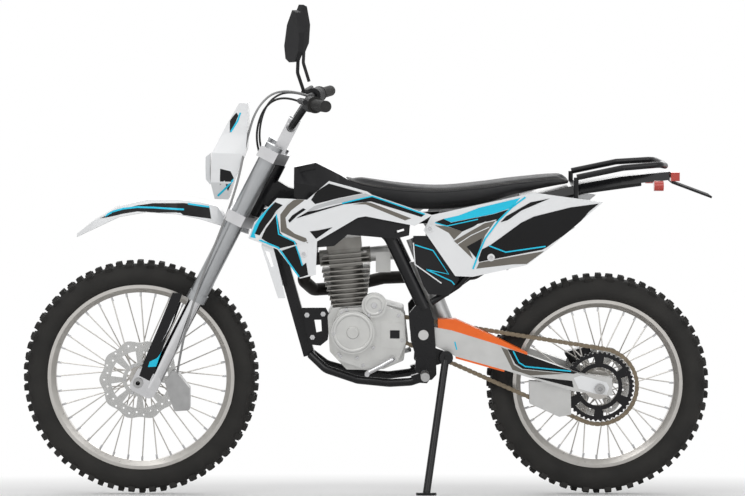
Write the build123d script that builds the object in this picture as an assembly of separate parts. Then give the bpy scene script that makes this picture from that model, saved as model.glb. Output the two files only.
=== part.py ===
from build123d import *
import os
from math import acos, cos, degrees, hypot, radians, sin, tan

# Motocross bike with road lights, parked on its side stand.
# Millimetres. The bike is drawn upright, x forward from the rear axle, y to
# its left, z up from the ground, and is leaned over onto its stand at the end.

# Driving dimensions of the whole bike
wheelbase = 1365
rake = 27.3
trail = 107
lean = 10

# Wheels
front_tyre_radius = 354
front_tyre_width = 84
front_rim_radius = 279
rear_tyre_radius = 334
rear_tyre_width = 100
rear_rim_radius = 254
rim_width = 44
rim_depth = 24
tyre_gap = 0.2
spoke_radius = 1.9
spoke_count = 36
spoke_end_gap = 0.6
wheel_gap = 0.5

# Axles
front_axle_radius = 10
rear_axle_radius = 10
axle_bore = 6.5
axle_fit = 0.1

# Fork and clamps, measured along the steering axis from the ground
fork_offset = 28
leg_spacing = 200
outer_tube_radius = 27
inner_tube_radius = 21.5
outer_tube_bottom = 657
outer_tube_top = 1172
lower_clamp_height = 932
upper_clamp_height = 1142
clamp_thickness = 34
steering_lock = 40
stem_radius = 14
head_tube_radius = 29
head_gap = 2

# Frame tubes
down_tube_size = 34
cradle_radius = 12
spar_radius = 19
spar_side = 92
spar_foot_side = 104
subframe_radius = 10
pivot_x = 523
pivot_z = 497
pivot_bolt_radius = 9
pivot_plate_thickness = 14
pivot_plate_side = 112

# Chain drive
chain_side = 62
arm_inner = 76
arm_outer = 102
front_sprocket = (598, 512)
sprocket_teeth = 45
front_teeth = 13
chain_pitch = 15.875
chain_height = 15
chain_width = 12
sprocket_thickness = 6

# Side stand
stand_eye_width = 24
stand_gap = 0.4
stand_pin_radius = 6
stand_length = 415
stand_radius = 11
stand_pivot = (457, 128, 430)
stand_forward = 60
stand_folded = (-386, 32, 149)

# Brakes
front_disc_radius = 120
rear_disc_radius = 110
disc_thickness = 4
disc_gap = 1.5

front_axle = (wheelbase, 0, front_tyre_radius)
rear_axle = (0, 0, rear_tyre_radius)
steer = Pos(wheelbase + trail, 0, 0) * Rot(0, -rake, 0)
axle_ahead = front_tyre_radius * sin(radians(rake)) - trail * cos(radians(rake))
axle_up = front_tyre_radius * cos(radians(rake)) + trail * sin(radians(rake))


# The stand reaches the ground of the leaning bike, in the upright frame
ground_up = Vector(0, -sin(radians(lean)), cos(radians(lean)))
outward = Vector(0, cos(radians(lean)), sin(radians(lean)))
pivot_height = Vector(*stand_pivot).dot(ground_up)
stand_splay = (stand_length ** 2 - pivot_height ** 2 - stand_forward ** 2) ** 0.5
stand_direction = Vector(stand_forward, 0, 0) + outward * stand_splay - ground_up * pivot_height
foot_point = Vector(*stand_pivot) + stand_direction
swing = stand_direction - Vector(*stand_folded)
tilt = -swing.Y / (swing.X ** 2 + swing.Z ** 2)
stand_axis = Vector(swing.X * tilt, 1, swing.Z * tilt).normalized()
flat_down = stand_direction - stand_axis * stand_direction.dot(stand_axis)
flat_folded = Vector(*stand_folded) - stand_axis * Vector(*stand_folded).dot(stand_axis)
stand_swing = degrees(acos(flat_down.dot(flat_folded) / (flat_down.length * flat_folded.length)))


# Helpers
def rod(start, end, radius, bore=0):
    """A round bar, or a tube where it has a bore, from one point to another."""
    along = Vector(*end) - Vector(*start)
    face = Plane(origin=Vector(*start), z_dir=along) * Circle(radius)
    body = extrude(face, amount=along.length)
    if bore:
        body -= extrude(Plane(origin=Vector(*start), z_dir=along) * Circle(bore), amount=along.length)
    return body


def tube(points, radius, bend):
    """A bent round tube through the points, with one radius for its bends."""
    path = FilletPolyline(*points, radius=bend)
    return sweep(Plane(path @ 0, z_dir=path % 0) * Circle(radius), path=path)


def slab(points, inner, outer, corner=0):
    """A plate with an outline in x and z, between two distances to the side."""
    flat = [(x, inner, z) for x, z in points]
    edge = FilletPolyline(*flat, radius=corner, close=True) if corner else Polyline(*flat, close=True)
    return extrude(make_face(edge), amount=outer - inner, dir=(0, 1, 0))


def bar(start, end, width, height):
    """A box tube between two points, its width across the bike."""
    along = Vector(*end) - Vector(*start)
    return extrude(Plane(origin=Vector(*start), x_dir=(0, 1, 0), z_dir=along) * Rectangle(width, height),
                   amount=along.length)


def other_side(body):
    return mirror(body, about=Plane.XZ)


def both(body):
    return [body, other_side(body)]


def spun(profile, centre):
    """A ring turned about an axle from an outline of side distance and radius."""
    face = make_face(Polyline(*[(0, side, radius) for side, radius in profile], close=True))
    return Pos(*centre) * revolve(face, axis=Axis.Y)


def disc_plate(centre, side, radius, thickness, bore):
    """A flat ring across an axle, its middle at a distance to the side."""
    face = Plane(origin=(centre[0], side - thickness / 2, centre[2]), z_dir=(0, 1, 0))
    return extrude(face * Circle(radius) - face * Circle(bore), amount=thickness)


def ribbed(sections):
    """A body lofted through flat outlines at places along the bike."""
    rings = [make_face(Polyline(*[(x + z * slope, y, z) for y, z in ring], close=True))
             for x, slope, ring in sections]
    return loft(rings, ruled=True)


# Wheels
def tyre(centre, radius, width, rim_radius):
    half = width / 2
    seat = rim_radius + tyre_gap
    profile = [(-rim_width / 2, seat), (rim_width / 2, seat), (half - 4, seat + 14), (half, seat + 32),
               (half - 5, radius - 20), (half - 18, radius - 6), (half - 34, radius),
               (-half + 34, radius), (-half + 18, radius - 6), (-half + 5, radius - 20),
               (-half, seat + 32), (-half + 4, seat + 14)]
    return spun(profile, centre)


def rim(centre, rim_radius):
    half = rim_width / 2
    inner = rim_radius - rim_depth
    profile = [(-half, rim_radius), (half, rim_radius), (half, rim_radius - 10),
               (10, inner), (-10, inner), (-half, rim_radius - 10)]
    return spun(profile, centre)


def hub(centre, rim_radius, flange, flange_radius, body_radius, axle_radius):
    bore = axle_radius + wheel_gap
    body = spun([(-flange, body_radius), (flange, body_radius), (flange, bore), (-flange, bore)], centre)
    for side in (-1, 1):
        body += disc_plate(centre, side * (flange - 4), flange_radius, 6, body_radius - 2)
    reach = rim_radius - rim_depth - spoke_end_gap
    for step in range(spoke_count):
        turn = step * 360 / spoke_count
        side = 1 if step % 2 else -1
        swing = 38 if step % 4 < 2 else -38
        at_hub = (cos(radians(turn + swing)), sin(radians(turn + swing)))
        at_rim = (cos(radians(turn)), sin(radians(turn)))
        foot = (centre[0] + (flange_radius - 6) * at_hub[0], side * (flange - 4),
                centre[2] + (flange_radius - 6) * at_hub[1])
        tip = (centre[0] + reach * at_rim[0], side * 5, centre[2] + reach * at_rim[1])
        body += rod(foot, tip, spoke_radius)
    return body


# Axles
def axle(centre, radius, left, right):
    body = rod((centre[0], -right, centre[2]), (centre[0], left, centre[2]), radius, axle_bore)
    for side, turned in ((left, 1), (-right, -1)):
        head = rod((centre[0], side, centre[2]), (centre[0], side + turned * 8, centre[2]), radius + 5, axle_bore)
        body += head
    return body


# Front end, drawn along the steering axis
def steered(body):
    return steer * body


def fork_outer():
    legs = []
    for side in (-1, 1):
        leg = Pos(fork_offset, side * leg_spacing / 2, outer_tube_bottom) * Cylinder(
            outer_tube_radius, outer_tube_top - outer_tube_bottom, align=(Align.CENTER, Align.CENTER, Align.MIN))
        leg += Pos(fork_offset, side * leg_spacing / 2, outer_tube_bottom) * Cylinder(
            outer_tube_radius + 3, 26, align=(Align.CENTER, Align.CENTER, Align.MIN))
        legs.append(steered(leg))
    return legs


def fork_inner():
    legs = []
    for side in (-1, 1):
        y = side * leg_spacing / 2
        tube_length = outer_tube_bottom - axle_up
        leg = Pos(fork_offset, y, axle_up) * Cylinder(
            inner_tube_radius, tube_length, align=(Align.CENTER, Align.CENTER, Align.MIN))
        lug = Pos((axle_ahead + fork_offset) / 2, y, axle_up + 8) * Box(axle_ahead - fork_offset + 40, 40, 74)
        leg += fillet(lug.edges().filter_by(Axis.Y), 18)
        leg -= Pos(axle_ahead, y, axle_up) * Rot(90, 0, 0) * Cylinder(front_axle_radius + axle_fit, 60)
        legs.append(steered(leg))
    return legs


def triple_clamps():
    clamps = []
    for height in (lower_clamp_height, upper_clamp_height):
        half = leg_spacing / 2 + outer_tube_radius + 12
        edge = [(-26, -30), (fork_offset - 20, -half), (fork_offset + 36, -half), (fork_offset + 30, 0),
                (fork_offset + 36, half), (fork_offset - 20, half), (-26, 30)]
        plate = extrude(Plane.XY * make_face(Polyline(*edge, close=True)), amount=clamp_thickness / 2, both=True)
        for side in (-1, 1):
            plate -= Pos(fork_offset, side * leg_spacing / 2, 0) * Cylinder(
                outer_tube_radius + axle_fit, clamp_thickness + 2)
        clamps.append(Pos(0, 0, height) * plate)
    stem = Pos(0, 0, lower_clamp_height) * Cylinder(
        stem_radius, upper_clamp_height - lower_clamp_height, align=(Align.CENTER, Align.CENTER, Align.MIN))
    nut = Pos(0, 0, upper_clamp_height + clamp_thickness / 2) * Cylinder(
        18, 12, align=(Align.CENTER, Align.CENTER, Align.MIN))
    return steered(clamps[0] + stem + clamps[1] + nut)


riser_ahead = 10
riser_height = 66
bar_radius = 14
bar_low = upper_clamp_height + clamp_thickness / 2 + riser_height + bar_radius


def risers():
    blocks = []
    for side in (-1, 1):
        base = Pos(riser_ahead, side * 50, upper_clamp_height + clamp_thickness / 2) * Box(
            36, 34, riser_height + bar_radius * 2 + 8, align=(Align.CENTER, Align.CENTER, Align.MIN))
        base -= Pos(riser_ahead, side * 50, bar_low) * Rot(90, 0, 0) * Cylinder(bar_radius + axle_fit, 60)
        blocks.append(steered(base))
    return blocks


# Handlebar points: ahead of the steering axis, to the side, above the ground along the axis
bar_points = [(riser_ahead, 0, bar_low), (riser_ahead, 95, bar_low), (riser_ahead - 10, 185, bar_low + 91),
              (riser_ahead - 58, 402, bar_low + 122)]


def handlebar():
    half = [(x, y, z) for x, y, z in bar_points]
    whole = [(x, -y, z) for x, y, z in half[:0:-1]] + half[1:]
    bent = tube(whole, 11, 60)
    return steered(bent)


def grips():
    pieces = []
    inner, outer = Vector(*bar_points[2]), Vector(*bar_points[3])
    along = (outer - inner).normalized()
    for mirrored in (False, True):
        start = outer - along * 122
        grip = rod(tuple(start), tuple(outer + along * 3), 16.5)
        grip += rod(tuple(start - along * 6), tuple(start), 24)
        grip -= rod(tuple(start - along * 8), tuple(outer), 11 + axle_fit)
        pieces.append(steered(other_side(grip) if mirrored else grip))
    return pieces


def controls():
    pieces = []
    inner, outer = Vector(*bar_points[2]), Vector(*bar_points[3])
    along = (outer - inner).normalized()
    for mirrored in (False, True):
        start = outer - along * 190
        end = outer - along * 132
        pod = rod(tuple(start), tuple(end), 23)
        pod -= rod(tuple(start - along), tuple(end + along), 11 + axle_fit)
        perch = start + along * 10 + Vector(34, 0, -6)
        pod += rod(tuple(start + along * 10 + Vector(16, 0, 0)), tuple(perch), 9)
        pod += rod(tuple(perch), tuple(outer - along * 20 + Vector(52, 0, -14)), 7)
        pieces.append(steered(other_side(pod) if mirrored else pod))
    return pieces


def mirrors():
    foot, knee, neck = (868, 300, 1222), (886, 318, 1278), (884, 326, 1318)
    leaf = [(-30, 4), (-36, 40), (-22, 100), (4, 142), (22, 136), (38, 80), (32, 24), (14, -2), (-12, -6)]
    stalk = tube([foot, knee, neck], 5, 30)
    face = Plane(origin=(neck[0] + 4, neck[1] + 2, neck[2] - 4), x_dir=(-0.6, 0.8, 0), z_dir=(0.8, 0.6, 0))
    head = extrude(face * make_face(Polyline(*leaf, close=True)), amount=18)
    return both(stalk + head)


def front_fender():
    # Places along the fender: x, height of its middle, half width, drop of its edge
    table = [(1551, 786, 30, 8), (1500, 826, 58, 22), (1420, 872, 66, 30), (1340, 890, 68, 34),
             (1250, 890, 66, 40), (1180, 882, 60, 48), (1132, 868, 52, 50), (1108, 830, 48, 20), (1040, 800, 44, 12)]
    rings = []
    for x, z, half, drop in table:
        ring = [(x, -half, z - drop), (x, -half * 0.62, z), (x, half * 0.62, z), (x, half, z - drop),
                (x, half - 5, z - drop - 2), (x, half * 0.62 - 3, z - 6), (x, -half * 0.62 + 3, z - 6),
                (x, -half + 5, z - drop - 2)]
        rings.append(make_face(Polyline(*ring, close=True)))
    return loft(rings, ruled=True)


def headlight_mask():
    # Sections up the mask: height, front x, rear x, half width at the front and at the rear
    table = [(892, 1140, 1098, 44, 60), (945, 1150, 1082, 78, 96), (1030, 1146, 1046, 72, 92),
             (1110, 1104, 1040, 52, 74), (1176, 1066, 1040, 34, 46)]
    rings = []
    for z, front, rear, narrow, wide in table:
        ring = [(front, -narrow, z), (front, narrow, z), (rear, wide, z), (rear, -wide, z)]
        rings.append(make_face(Polyline(*ring, close=True)))
    return loft(rings, ruled=True)


def headlight_lens():
    return loft([make_face(Polyline(*[(x, y, z) for y, z in ring], close=True)) for x, ring in
                 ((1152, [(-62, 936), (62, 936), (72, 985), (58, 1028), (-58, 1028), (-72, 985)]),
                  (1166, [(-40, 950), (40, 950), (50, 985), (40, 1016), (-40, 1016), (-50, 985)]))], ruled=True)


# Frame
def head_tube():
    height = upper_clamp_height - lower_clamp_height - clamp_thickness - 2 * head_gap
    low = lower_clamp_height + clamp_thickness / 2 + head_gap
    tube_body = Pos(0, 0, low) * Cylinder(head_tube_radius, height, align=(Align.CENTER, Align.CENTER, Align.MIN))
    bore = Pos(0, 0, low - 1) * Cylinder(stem_radius + 1, height + 2, align=(Align.CENTER, Align.CENTER, Align.MIN))
    return steered(tube_body), steered(bore)


def frame_backbone():
    tube_body, bore = head_tube()
    spine = bar(*spine_line, spine_width, spine_height)
    gusset = slab([(1010, 880), (955, 945), (860, 886), (950, 850)], -20, 20)
    cross = rod((668, -spar_side + spar_radius, 826), (668, spar_side - spar_radius, 826), 14)
    return tube_body + spine + gusset + cross - bore


spine_line = ((985, 0, 915), (660, 0, 815))
spine_width, spine_height = 44, 56


def down_tube():
    body = bar((985, 0, 862), (862, 0, 420), down_tube_size, down_tube_size)
    return body - frame_backbone()


cradle_points = [(858, 26, 424), (812, 52, 384), (717, 66, 354), (623, 74, 346), (560, 88, 352), (515, 92, 368)]
spar_points = [(668, spar_side, 826), (622, spar_side, 786), (520, spar_foot_side, 572)]


def cradle():
    return both(tube(cradle_points, cradle_radius, 40) - down_tube() - spars()[0])


def spars():
    inner = pivot_plate_side - pivot_plate_thickness / 2
    outer = pivot_plate_side + pivot_plate_thickness / 2
    plate = slab([(545, 585), (566, 560), (560, 480), (545, 430), (548, 388), (500, 360), (484, 378), (486, 450),
                  (492, 540), (505, 585)], inner, outer, 8)
    plate -= rod((pivot_x, inner - 1, pivot_z), (pivot_x, outer + 1, pivot_z), pivot_bolt_radius + axle_fit)
    foot = slab([(548, 352), (560, 372), (520, 384), (500, 366), (512, 350)], 86, inner)
    body = tube(spar_points, spar_radius, 60) + plate + foot
    left = body + stand_bracket()
    return [left, other_side(body)]


def stand_bracket():
    """A boss with the pin that the side stand turns on."""
    pivot = Vector(*stand_pivot)
    face = pivot - stand_axis * (stand_eye_width / 2 + stand_gap)
    boss = rod(tuple(pivot - stand_axis * 26), tuple(face), 17)
    web = slab([(500, 400), (500, 460), (457, 446), (443, 430), (457, 414)], 105, 111)
    pin = rod(tuple(face), tuple(pivot + stand_axis * (stand_eye_width / 2 + 4)), stand_pin_radius)
    return boss + web + pin


def subframe():
    rail = tube([(640, 70, 826), (420, 78, 838), (200, 70, 872), (50, 56, 918), (-120, 40, 940)],
                subframe_radius, 120)
    brace = tube([(500, 96, 590), (420, 84, 640), (215, 70, 869)], subframe_radius, 60)
    return both((rail + brace) - spars()[0])


# Engine
def engine_case():
    outline = [(806, 545), (786, 580), (640, 580), (580, 565), (572, 470), (580, 410), (640, 384), (750, 386),
               (800, 440)]
    case = slab(outline, -70, case_step, 10)
    case += slab([(806, 545), (786, 580), (660, 580), (655, 470), (660, 384), (750, 386), (800, 440)],
                 case_step, 70, 8)
    place = Pos(*cylinder_base) * Rot(0, cylinder_lean, 0)
    case -= place * Box(400, 300, 200, align=(Align.CENTER, Align.CENTER, Align.MIN))
    shaft = rod((front_sprocket[0], case_step, front_sprocket[1]), (front_sprocket[0], chain_side, front_sprocket[1]), 14)
    wheel = rod((front_sprocket[0], chain_side - 3, front_sprocket[1]),
                (front_sprocket[0], chain_side + 3, front_sprocket[1]), front_pitch - chain_height / 2 - 0.3)
    return case + shaft + wheel


def engine_cover_left():
    cover = slab([(800, 500), (770, 572), (640, 580), (580, 560), (574, 470), (600, 410), (700, 392), (780, 420)],
                 72, 96, 14)
    cover += slab([(800, 500), (770, 572), (662, 572), (662, 400), (700, 392), (780, 420)], 70, 73, 4)
    cover += rod((731, 94, 503), (731, 116, 503), 64)
    cover += rod((668, 94, 583), (668, 110, 583), 37)
    return cover


def engine_cover_right():
    cover = slab([(790, 480), (770, 560), (640, 580), (575, 540), (565, 450), (620, 395), (720, 390), (780, 420)],
                 -98, -70, 14)
    cover += rod((690, -98, 470), (690, -114, 470), 74)
    return cover


cylinder_lean = 5
case_step = 50
cylinder_base = (742, 0, 575)


def fin_stack(widths, step, start, depth):
    """Cooling fins along the cylinder's own axis, as one stack with its barrel."""
    place = Pos(*cylinder_base) * Rot(0, cylinder_lean, 0)
    stack = None
    for level, width in enumerate(widths):
        fin = Pos(0, 0, start + level * step) * Box(width, depth, 3, align=(Align.CENTER, Align.CENTER, Align.MIN))
        stack = fin if stack is None else stack + fin
    return place, stack


def cylinder():
    place, stack = fin_stack([108, 112, 118, 124, 130, 136, 140, 144], 14, 8, 140)
    barrel = Cylinder(50, 116, align=(Align.CENTER, Align.CENTER, Align.MIN))
    return place * (stack + barrel)


def cylinder_head():
    place, stack = fin_stack([144, 140, 130], 14, 126, 140)
    body = Pos(0, 0, 117) * Box(96, 96, 50, align=(Align.CENTER, Align.CENTER, Align.MIN))
    cover = Pos(0, 0, 167) * Box(104, 92, 34, align=(Align.CENTER, Align.CENTER, Align.MIN))
    port = Pos(0, 0, 142) * Rot(0, 90, 0) * Cylinder(24, port_reach * 2)
    return place * (stack + body + cover + port)


port_reach = 76


def port(ahead):
    """The middle of a port's face, and the point a little further out."""
    place = Pos(*cylinder_base) * Rot(0, cylinder_lean, 0)
    near = (place * Pos(ahead * port_reach, 0, 142)).position
    far = (place * Pos(ahead * (port_reach + 60), 0, 142)).position
    return near, far


def carburettor():
    near, far = port(-1)
    end = near + (far - near) * 1.25
    body = rod(tuple(near), tuple(end), 22)
    bowl = Pos((near.X + end.X) / 2, 0, near.Z - 22) * Box(44, 44, 60)
    return body + bowl


def exhaust_header():
    near, far = port(1)
    return tube([tuple(near), tuple(near + (far - near) * 0.6), (880, -30, 640), (850, -78, 606), (770, -118, 606),
                 (640, -142, 634), (480, -142, 640), header_end, silencer_front], header_radius, 24)


silencer_front = (290, -134, 696)
silencer_rear = (85, -138, 826)
header_end = tuple(Vector(*silencer_front) + (Vector(*silencer_front) - Vector(*silencer_rear)) * 0.37)
header_radius = 19


def silencer():
    return rod(silencer_front, silencer_rear, 46)


# Body
def fuel_tank():
    # Sections along the tank: x, top z, bottom z, half width
    table = [(905, 985, 900, 60), (840, 1000, 868, 92), (772, 966, 850, 98), (704, 925, 850, 84)]
    rings = []
    for x, top, bottom, half in table:
        ring = [(x, -half, bottom), (x, -half, (top + bottom) / 2), (x, -half * 0.55, top), (x, half * 0.55, top),
                (x, half, (top + bottom) / 2), (x, half, bottom)]
        rings.append(make_face(Polyline(*ring, close=True)))
    tunnel = bar(*spine_line, spine_width + 10, spine_height + 10)
    tunnel += Pos(0, 0, -30) * tunnel
    return loft(rings, ruled=True) - tunnel


def seat():
    table = [(762, 968, 930, 48), (690, 950, 890, 62), (576, 932, 868, 78), (470, 926, 866, 92),
             (356, 936, 880, 96), (245, 950, 912, 92), (130, 960, 936, 80), (86, 958, 942, 66)]
    rings = []
    for x, top, bottom, half in table:
        ring = [(x, -half, bottom), (x, -half * 0.94, top - 10), (x, -half * 0.72, top), (x, half * 0.72, top),
                (x, half * 0.94, top - 10), (x, half, bottom)]
        rings.append(make_face(Polyline(*ring, close=True)))
    return loft(rings, ruled=True) - fuel_tank()


shroud_outline = [(952, 905), (1018, 834), (1036, 787), (951, 755), (886, 669), (839, 680), (835, 778), (716, 848),
                  (693, 852), (549, 824), (499, 855), (675, 915), (688, 924), (800, 955), (864, 900)]


def shroud():
    return slab(shroud_outline, 150, 158)


def side_panel():
    outline = [(500, 852), (201, 918), (-2, 890), (154, 755), (219, 705), (378, 670), (430, 672), (523, 807)]
    return slab(outline, 118, 124)


def airbox():
    return slab([(515, 775), (470, 850), (300, 860), (240, 800), (330, 690), (430, 620), (452, 620)], -60, 60, 10)


def rear_fender():
    # Sections along the fender: x, top z, half width
    table = [(236, 898, 96), (60, 940, 92), (-60, 960, 74), (-206, 972, 40)]
    rings = []
    for x, top, half in table:
        ring = [(x, -half, top - 24), (x, -half * 0.86, top), (x, half * 0.86, top), (x, half, top - 24),
                (x, half - 4, top - 24), (x, half * 0.86 - 4, top - 4), (x, -half * 0.86 + 4, top - 4),
                (x, -half + 4, top - 24)]
        rings.append(make_face(Polyline(*ring, close=True)))
    return loft(rings, ruled=True)


def rear_rack():
    hoop = tube([(74, 112, 962), (-60, 112, 990), (-170, 96, 998), (-192, 40, 990), (-192, -40, 990),
                 (-170, -96, 998), (-60, -112, 990), (74, -112, 962)], 9, 30)
    legs = both(rod((76, 112, 962), (76, 108, 893), 7))
    feet = both(rod((76, 112, 893), (76, 78, 893), 6))
    return hoop + legs[0] + legs[1] + feet[0] + feet[1]


def tail_lights():
    lamp = Pos(-222, 0, 958) * Box(26, 90, 26)
    stalks = [lamp]
    for side in (-1, 1):
        stalk = rod((-163, side * 30, 938), (-163, side * 120, 938), 6)
        stalk += rod((-178, side * 125, 938), (-150, side * 125, 938), 15)
        stalks.append(stalk)
    return stalks


plate_top, plate_end = Vector(-212, 0, 941), Vector(-330, 0, 897)
plate_thickness = 6
plate_hole_spacing = 80
plate_hole_radius = 3.2
plate_normal = Vector(plate_end.Z - plate_top.Z, 0, plate_top.X - plate_end.X).normalized()
plate_hole_middle = tuple(plate_top + (plate_end - plate_top) * 0.72 + plate_normal * plate_thickness / 2)


def plate_bracket():
    along = plate_end - plate_top
    middle = (plate_top + plate_end) * 0.5 - plate_normal * plate_thickness / 2
    face = Plane(origin=middle, x_dir=along, z_dir=plate_normal)
    body = extrude(face * Rectangle(along.length, 100), amount=plate_thickness)
    holes = Plane(origin=Vector(*plate_hole_middle) - plate_normal * 10, x_dir=along, z_dir=plate_normal)
    for side in (-1, 1):
        body -= extrude(holes * Pos(0, side * plate_hole_spacing / 2) * Circle(plate_hole_radius), amount=20)
    return body


# Rear end
# The arm's own edges, from its pivot to the axle block: x and z
arm_top = [(505, 520), (440, 508), (295, 463), (59, 378), (-36, 366)]
arm_bottom = [(-38, 312), (79, 326), (282, 389), (427, 430), (505, 470)]


def swingarm():
    arm = slab(arm_top + arm_bottom, arm_inner, arm_outer)
    arm += rod((pivot_x, arm_inner, pivot_z), (pivot_x, arm_outer, pivot_z), 28)
    arm -= rod((rear_axle[0], arm_inner - 1, rear_axle[2]), (rear_axle[0], arm_outer + 1, rear_axle[2]),
               rear_axle_radius + axle_fit)
    cross = rod((pivot_x, -arm_inner, pivot_z), (pivot_x, arm_inner, pivot_z), 20)
    bolt_end = pivot_plate_side + pivot_plate_thickness / 2
    bolt = rod((pivot_x, -bolt_end, pivot_z), (pivot_x, bolt_end, pivot_z), pivot_bolt_radius)
    caps = [rod((pivot_x, side * bolt_end, pivot_z), (pivot_x, side * (bolt_end + 6), pivot_z), 15)
            for side in (-1, 1)]
    return arm + other_side(arm) + cross + bolt + caps[0] + caps[1]


def chain_slider():
    top = slab([(480, 541), (427, 541), (327, 496), (215, 440), (215, 434.2), (295, 463), (440, 508), (480, 515.5)],
               72, arm_outer)
    low = slab([(427, 430), (282, 389), (284, 384), (427, 424)], arm_inner, arm_outer)
    return [top, low]


def chain_guide():
    outline = [(208, 352), (206, 284), (118, 244), (82, 250), (84, 322), (120, 345)]
    plates = [slab(outline, chain_side - 12, chain_side - 9), slab(outline, chain_side + 9, chain_side + 12)]
    floor = slab([(204, 290.5), (120, 253), (122, 246), (204, 283)], chain_side - 9, chain_side + 9)
    return plates[0] + plates[1] + floor


rear_pitch = chain_pitch / (2 * sin(radians(180 / sprocket_teeth)))
front_pitch = chain_pitch / (2 * sin(radians(180 / front_teeth)))


def chain():
    loops = []
    for swell in (chain_height / 2, -chain_height / 2):
        big = Pos(rear_axle[0], rear_axle[2]) * Circle(rear_pitch + swell)
        small = Pos(*front_sprocket) * Circle(front_pitch + swell)
        loops.append(make_hull(big.edges() + small.edges()))
    loop = extrude(loops[0] - loops[1], amount=chain_width)
    return Pos(0, chain_side + chain_width / 2, 0) * Rot(90, 0, 0) * loop


def rear_sprocket():
    return disc_plate(rear_axle, chain_side, rear_pitch - chain_height / 2 - 1, sprocket_thickness, 58)


def rear_shock():
    body = rod((430, 0, 440), (560, 0, 770), 14)
    body += rod((452, 0, 496), (536, 0, 709), 29)
    return body


def footpegs():
    return both(rod((519, 119.8, 380), (519, 205, 384), 13))


def gear_lever():
    return tube([(613, 100, 425), (613, 128, 425), (650, 134, 405), (689, 134, 385), (689, 160, 385)], 7, 8)


def brake_pedal():
    return tube([(560, -104, 420), (600, -128, 405), (680, -134, 400), (700, -160, 402)], 8, 12)


def rear_caliper():
    body = slab([(98, 420), (20, 440), (10, 405), (75, 385)], -72, -40, 6)
    body -= disc_plate(rear_axle, -56, rear_disc_radius + 2, disc_thickness + 2 * disc_gap, 0.5)
    return body


def front_caliper():
    y = 62
    body = slab([(1290, 350), (1262, 390), (1215, 330), (1215, 265), (1262, 262)], y - 20, y + 20, 8)
    body -= disc_plate(front_axle, y, front_disc_radius + 2, disc_thickness + 2 * disc_gap, 0.5)
    return body


def fork_guards():
    outline = [(71, 661), (98, 650), (78, 414), (74, 385), (40, 385), (40, 417)]
    side = steered(slab(outline, 122, 126))
    front = steered(extrude(Plane(origin=(94, 80, 646), x_dir=(0, 1, 0), z_dir=(-16, 0, -232)) * Rectangle(
        46, 4, align=(Align.MIN, Align.CENTER)), amount=232))
    return both(side + front)


def side_stand():
    drop = stand_direction
    pivot = Vector(*stand_pivot)
    leg = rod(tuple(pivot), tuple(pivot + drop * 0.98), stand_radius)
    eye = rod(tuple(pivot - stand_axis * stand_eye_width / 2), tuple(pivot + stand_axis * stand_eye_width / 2), 20)
    foot = extrude(Plane(origin=foot_point, x_dir=(1, 0, 0), z_dir=ground_up) * Circle(30), amount=8)
    pin = rod(tuple(pivot - stand_axis * 20), tuple(pivot + stand_axis * 20), stand_pin_radius + 0.3)
    leg += rod(tuple(pivot + drop * 0.9), tuple(pivot + drop * 0.985), stand_radius)
    return leg + eye + foot - pin


nodes = {
    "frame_backbone": frame_backbone(),
    "down_tube": down_tube(),
    "engine_cradle": cradle(),
    "frame_spars": spars(),
    "subframe": subframe(),
    "engine_case": engine_case(),
    "engine_cover_left": engine_cover_left(),
    "engine_cover_right": engine_cover_right(),
    "cylinder": cylinder(),
    "cylinder_head": cylinder_head(),
    "carburettor": carburettor(),
    "exhaust_header": exhaust_header(),
    "silencer": silencer(),
    "fuel_tank": fuel_tank(),
    "seat": seat(),
    "shroud_left": shroud(),
    "shroud_right": other_side(shroud()),
    "side_panel_left": side_panel(),
    "side_panel_right": (other_side(side_panel()) - rod(silencer_front, silencer_rear, 54)
                         - rod(header_end, silencer_front, header_radius + 6)),
    "airbox": airbox(),
    "rear_fender": rear_fender(),
    "rear_rack": rear_rack(),
    "tail_lights": tail_lights(),
    "plate_bracket": plate_bracket(),
    "swingarm": swingarm(),
    "chain_slider": chain_slider(),
    "chain_guide": chain_guide(),
    "chain": chain(),
    "rear_shock": rear_shock(),
    "footpegs": footpegs(),
    "gear_lever": gear_lever(),
    "brake_pedal": brake_pedal(),
    "rear_axle": axle(rear_axle, rear_axle_radius, 106, 106),
    "rear_caliper": rear_caliper(),
    "triple_clamps": triple_clamps(),
    "handlebar_risers": risers(),
    "fork_outer": fork_outer(),
    "fork_inner": fork_inner(),
    "fork_guards": fork_guards(),
    "front_fender": front_fender(),
    "headlight_mask": headlight_mask(),
    "headlight_lens": headlight_lens(),
    "handlebar": handlebar(),
    "grips": grips(),
    "controls": controls(),
    "mirrors": mirrors(),
    "front_caliper": front_caliper(),
    "front_axle": axle(front_axle, front_axle_radius, 122, 122),
    "front_tyre": tyre(front_axle, front_tyre_radius, front_tyre_width, front_rim_radius),
    "front_rim": rim(front_axle, front_rim_radius),
    "front_hub": hub(front_axle, front_rim_radius, 34, 34, 22, front_axle_radius),
    "front_disc": disc_plate(front_axle, 62, front_disc_radius, disc_thickness, 40),
    "rear_tyre": tyre(rear_axle, rear_tyre_radius, rear_tyre_width, rear_rim_radius),
    "rear_rim": rim(rear_axle, rear_rim_radius),
    "rear_hub": hub(rear_axle, rear_rim_radius, 38, 44, 30, rear_axle_radius),
    "rear_disc": disc_plate(rear_axle, -56, rear_disc_radius, disc_thickness, 44),
    "rear_sprocket": rear_sprocket(),
    "side_stand": side_stand(),
}

# Lean the bike onto its stand and set it on the ground, centred
leaned = {}
for name, body in nodes.items():
    shapes = body if isinstance(body, list) else [body]
    leaned[name] = [Rot(-lean, 0, 0) * solid for shape in shapes for solid in shape.solids()]
box = Compound([solid for solids in leaned.values() for solid in solids]).bounding_box()
ground = Pos(-(box.min.X + box.max.X) / 2, -(box.min.Y + box.max.Y) / 2, -box.min.Z)
parked = ground * Rot(-lean, 0, 0)

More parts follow.
